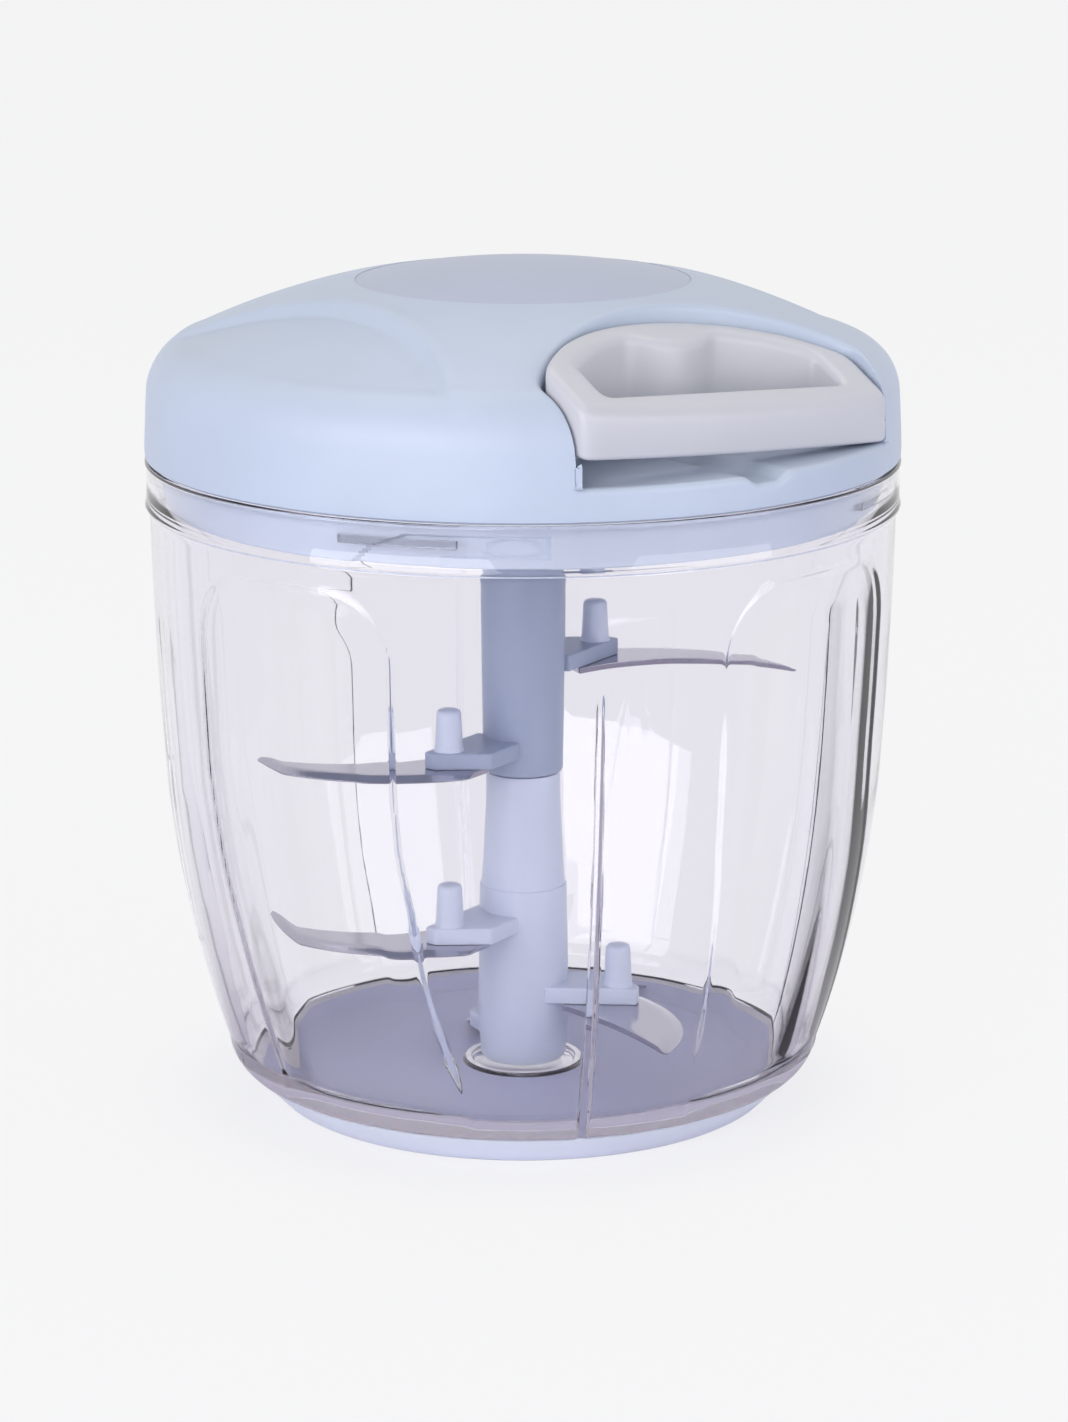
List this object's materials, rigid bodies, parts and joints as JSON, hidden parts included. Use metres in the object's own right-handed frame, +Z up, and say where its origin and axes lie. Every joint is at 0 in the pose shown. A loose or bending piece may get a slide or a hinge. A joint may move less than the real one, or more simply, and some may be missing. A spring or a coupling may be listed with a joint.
{
  "type": "pull cord food chopper",
  "caption": "Hand food chopper with a clear bowl, a domed lid with a recessed pull handle, and a spindle of curved steel blades.",
  "frame": {"origin": "centre of the foot ring, on the surface that the bowl stands on", "axes": "+Z up along the spindle, -Y the way the handle is pulled out of its recess, +X to the right of someone facing the handle's recess from -Y"},
  "size_m": [0.131, 0.131, 0.1474],
  "materials": {
    "clear_plastic": "clear polished moulding",
    "soft_foot": "translucent soft ring",
    "pivot_steel": "polished",
    "blade_steel": "bright, ground edge",
    "screw_steel": "plated",
    "spring_steel": "blued strip",
    "lid_blue": "fine satin moulding",
    "cap_blue": "smooth satin",
    "cover_blue": "moulded",
    "spindle_blue": "moulded",
    "seal_white": "soft",
    "handle_grey": "smooth satin",
    "reel_white": "moulded",
    "cord_white": "braided",
    "bush_grey": "moulded"
  },
  "bodies": {
    "bowl": {"bowl": "clear_plastic", "base_ring": "soft_foot", "pivot_pin": "pivot_steel"},
    "seal": {"lid_seal": "seal_white"},
    "lid": {"lid_shell": "lid_blue", "top_cap": "cap_blue", "lid_base": "cover_blue", "lid_screws": "screw_steel", "cord_guide": "bush_grey", "cord_lead": "cord_white", "centre_screw": "screw_steel", "centre_washer": "screw_steel", "recoil_spring": "spring_steel"},
    "reel": {"reel_drum": "reel_white", "drive_socket": "reel_white", "cord_winding": "cord_white"},
    "handle": {"handle": "handle_grey", "cord_knot": "cord_white"},
    "spindle": {"lower_spindle": "spindle_blue", "upper_spindle": "spindle_blue", "blade_upper_1": "blade_steel", "blade_upper_2": "blade_steel", "blade_lower_1": "blade_steel", "blade_lower_2": "blade_steel", "blade_lower_3": "blade_steel", "blade_pegs": "spindle_blue"}
  },
  "joints": [
    {"name": "lid_lift", "type": "slide", "parent": "bowl", "child": "seal", "axis": [0, 0, 1], "range_m": [0, 0.14]},
    {"name": "lid_turn", "type": "hinge", "parent": "seal", "child": "lid", "pos_m": [0, 0, 0.115], "axis": [0, 0, 1], "range_deg": [-12, 0]},
    {"name": "handle_pull", "type": "slide", "parent": "lid", "child": "handle", "axis": [0, -1, 0], "range_m": [0, 0.4]},
    {"name": "reel_spin", "type": "hinge", "parent": "lid", "child": "reel", "pos_m": [0, 0, 0.13], "axis": [0, 0, 1], "range_deg": [-925, 0], "deforming": ["recoil_spring"]},
    {"name": "spindle_spin", "type": "hinge", "parent": "bowl", "child": "spindle", "pos_m": [0, 0, 0.05], "axis": [0, 0, 1], "range_deg": [-925, 0]}
  ],
  "couplings": [
    {"joint": "reel_spin", "follows": "handle_pull", "rad_per_m": -40},
    {"joint": "spindle_spin", "follows": "handle_pull", "rad_per_m": -40}
  ]
}
